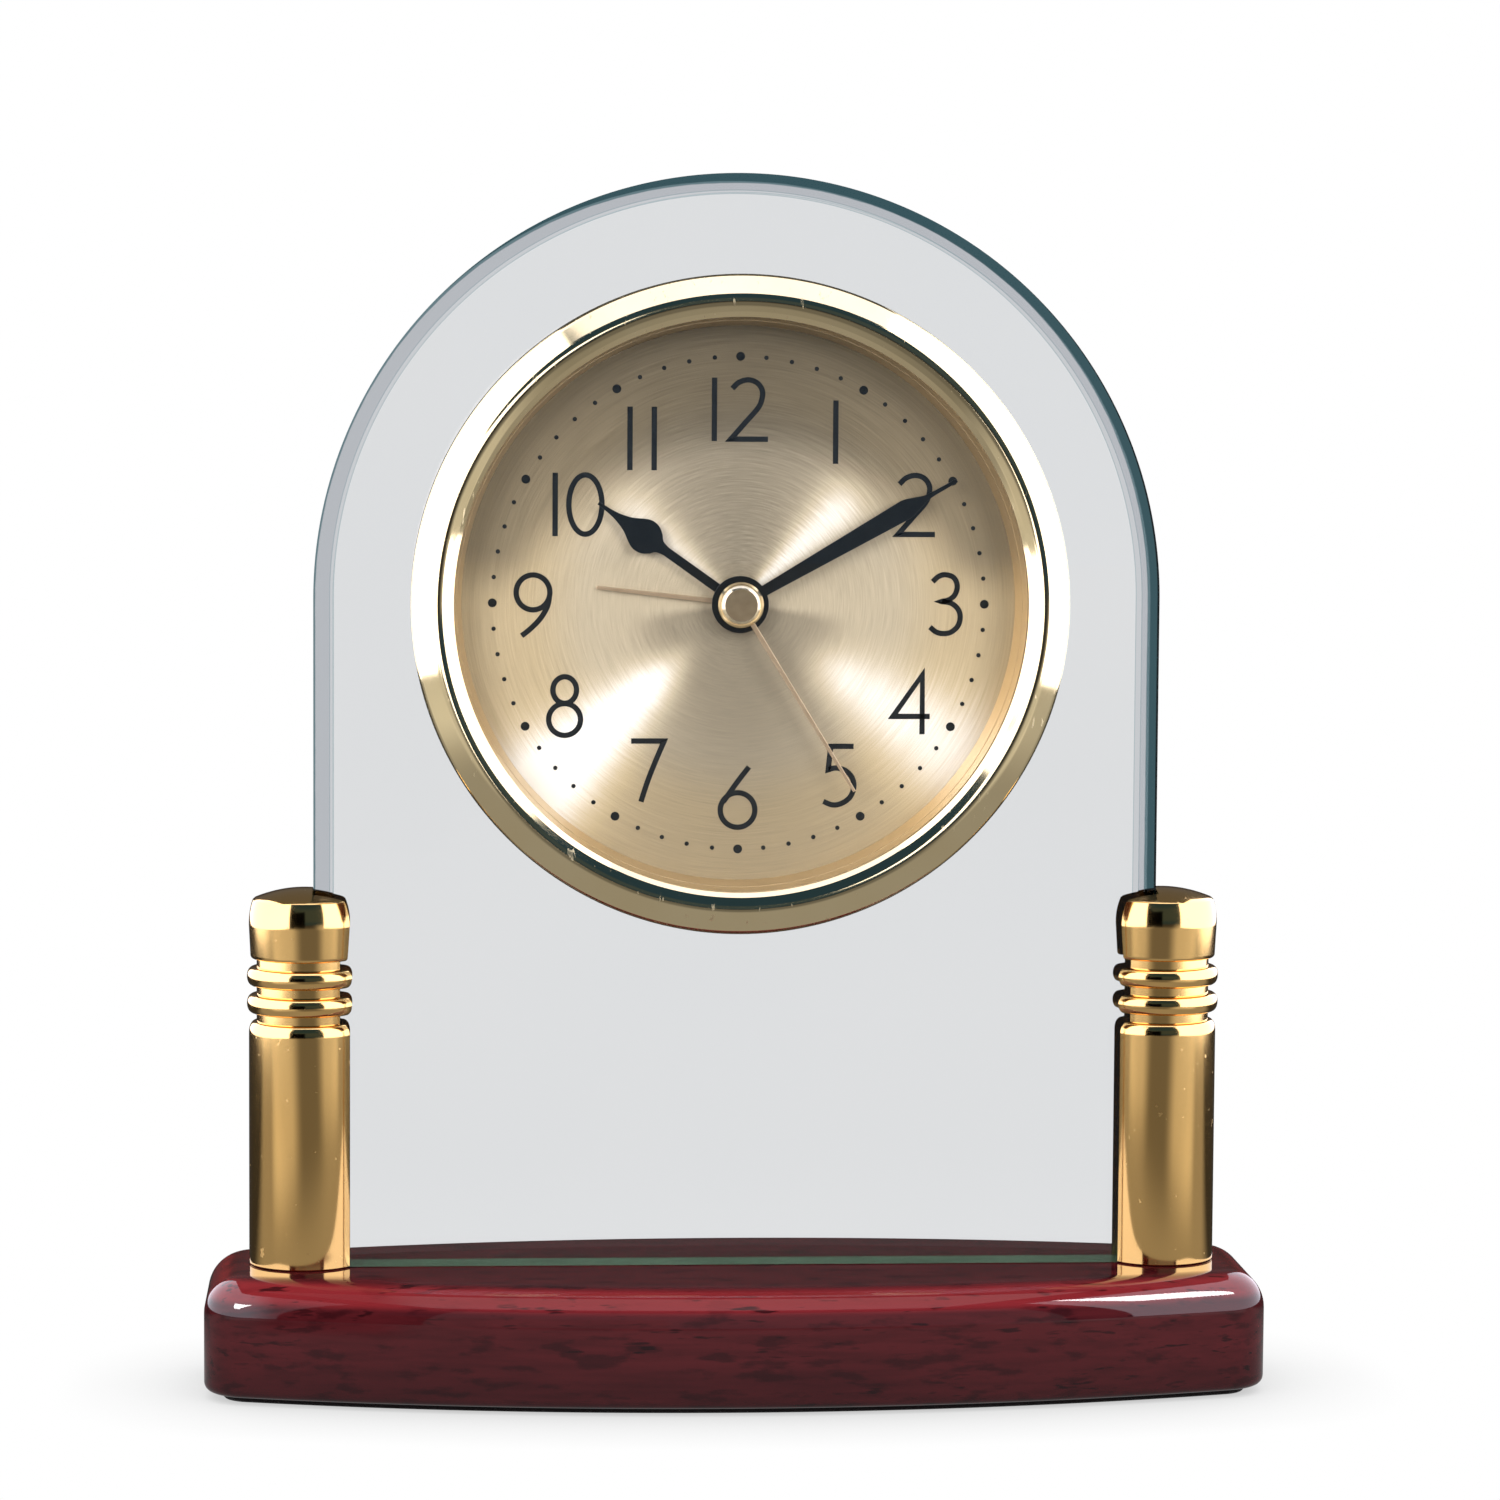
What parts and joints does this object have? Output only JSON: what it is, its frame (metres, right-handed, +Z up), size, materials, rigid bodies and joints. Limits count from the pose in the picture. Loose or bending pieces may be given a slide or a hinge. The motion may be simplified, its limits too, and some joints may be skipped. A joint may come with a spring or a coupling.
{
  "type": "arched desk clock",
  "caption": "Desk clock with an arched bevelled glass plate gripped by turned gold columns on a bowed gloss wood base, and a round quartz alarm insert set in the glass.",
  "frame": {"origin": "centre of the footprint, on the surface that the clock stands on", "axes": "+Z up, the dial faces -Y, +X to the right as seen from the front"},
  "size_m": [0.138, 0.047, 0.158],
  "materials": {
    "rosewood": "high gloss lacquer",
    "felt": "felt",
    "clear_glass": "polished",
    "gold": "polished gold plate",
    "spun_gold": "circular brushed",
    "black_paint": "satin",
    "black_plastic": "matte",
    "grey_plastic": "matte",
    "nylon": "moulded",
    "rubber": "matte",
    "brass": "plain",
    "steel": "plain",
    "copper": "enamelled wire",
    "board": "solder mask",
    "cell_jacket": "plain jacket",
    "lead_red": "insulation",
    "lead_black": "insulation"
  },
  "bodies": {
    "clock_body": {"base": "rosewood", "base_felt": "felt", "glass_plate": "clear_glass", "column_left": "gold", "column_right": "gold", "column_screw_left": "steel", "column_screw_right": "steel", "bezel": "gold", "crystal": "clear_glass", "dial_ring": "gold", "dial": "spun_gold", "insert_case": "black_plastic", "gasket": "rubber", "front_plate": "nylon", "back_plate": "nylon", "movement_screw_1": "steel", "movement_screw_2": "steel", "movement_screw_3": "steel", "stator": "steel", "motor_coil": "copper", "circuit_board": "board", "quartz_crystal": "steel", "chip_cover": "black_plastic", "rear_cover": "black_plastic", "cover_screw_1": "steel", "cover_screw_2": "steel", "cover_screw_3": "steel", "buzzer_disc": "brass", "battery_tray": "black_plastic", "battery_cell": "cell_jacket", "battery_contact_minus": "steel", "battery_contact_plus": "steel", "battery_lead_plus": "lead_red", "battery_lead_minus": "lead_black", "buzzer_lead": "lead_black"},
    "seconds": {"second_wheel": "brass", "second_hand": "gold", "second_hand_cap": "gold"},
    "motor_rotor": {"rotor": "steel"},
    "fifth": {"fifth_wheel": "nylon"},
    "third": {"third_wheel": "nylon"},
    "centre": {"centre_wheel": "brass"},
    "minutes": {"cannon_pinion": "brass", "minute_hand": "black_paint"},
    "minute_train": {"minute_wheel": "nylon"},
    "hours": {"hour_wheel": "nylon", "hour_hand": "black_paint"},
    "time_set": {"time_set_shaft": "nylon", "time_knob": "black_plastic"},
    "alarm": {"alarm_wheel": "nylon", "alarm_hand": "gold"},
    "alarm_set": {"alarm_set_shaft": "nylon", "alarm_knob": "black_plastic"},
    "alarm_slider": {"alarm_switch": "grey_plastic"},
    "door": {"battery_door": "black_plastic"}
  },
  "joints": [
    {"name": "second_turn", "type": "hinge", "parent": "clock_body", "child": "seconds", "pos_m": [0, 0, 0.1025], "axis": [0, 1, 0], "continuous": true},
    {"name": "rotor_turn", "type": "hinge", "parent": "clock_body", "child": "motor_rotor", "pos_m": [-0.01437, 0, 0.10795], "axis": [0, 1, 0], "continuous": true},
    {"name": "fifth_turn", "type": "hinge", "parent": "clock_body", "child": "fifth", "pos_m": [-0.00727, 0, 0.1067], "axis": [0, 1, 0], "continuous": true},
    {"name": "third_turn", "type": "hinge", "parent": "clock_body", "child": "third", "pos_m": [0.0051, 0, 0.11133], "axis": [0, 1, 0], "continuous": true},
    {"name": "centre_turn", "type": "hinge", "parent": "clock_body", "child": "centre", "pos_m": [0, 0, 0.1025], "axis": [0, 1, 0], "continuous": true},
    {"name": "minute_turn", "type": "hinge", "parent": "clock_body", "child": "minutes", "pos_m": [0, 0, 0.1025], "axis": [0, 1, 0], "continuous": true},
    {"name": "minute_wheel_turn", "type": "hinge", "parent": "clock_body", "child": "minute_train", "pos_m": [-0.00562, 0, 0.098], "axis": [0, 1, 0], "continuous": true},
    {"name": "hour_turn", "type": "hinge", "parent": "clock_body", "child": "hours", "pos_m": [0, 0, 0.1025], "axis": [0, 1, 0], "continuous": true},
    {"name": "time_set_turn", "type": "hinge", "parent": "clock_body", "child": "time_set", "pos_m": [-0.01124, 0, 0.0935], "axis": [0, 1, 0], "continuous": true},
    {"name": "alarm_turn", "type": "hinge", "parent": "clock_body", "child": "alarm", "pos_m": [0, 0, 0.1025], "axis": [0, 1, 0], "continuous": true},
    {"name": "alarm_set_turn", "type": "hinge", "parent": "clock_body", "child": "alarm_set", "pos_m": [0.00598, 0, 0.0935], "axis": [0, 1, 0], "continuous": true},
    {"name": "alarm_switch_slide", "type": "slide", "parent": "clock_body", "child": "alarm_slider", "axis": [0, 0, 1], "range_m": [0, 0.004]},
    {"name": "battery_door_slide", "type": "slide", "parent": "clock_body", "child": "door", "axis": [0, 0, -1], "range_m": [0, 0.022]}
  ],
  "couplings": [
    {"joint": "rotor_turn", "follows": "second_turn", "ratio": 30},
    {"joint": "fifth_turn", "follows": "second_turn", "ratio": -6},
    {"joint": "third_turn", "follows": "second_turn", "ratio": -0.13333},
    {"joint": "centre_turn", "follows": "second_turn", "ratio": 0.016667},
    {"joint": "minute_wheel_turn", "follows": "minute_turn", "ratio": -0.33333},
    {"joint": "hour_turn", "follows": "minute_turn", "ratio": 0.083333},
    {"joint": "time_set_turn", "follows": "minute_turn", "ratio": 1},
    {"joint": "alarm_set_turn", "follows": "alarm_turn", "ratio": -1.25}
  ]
}
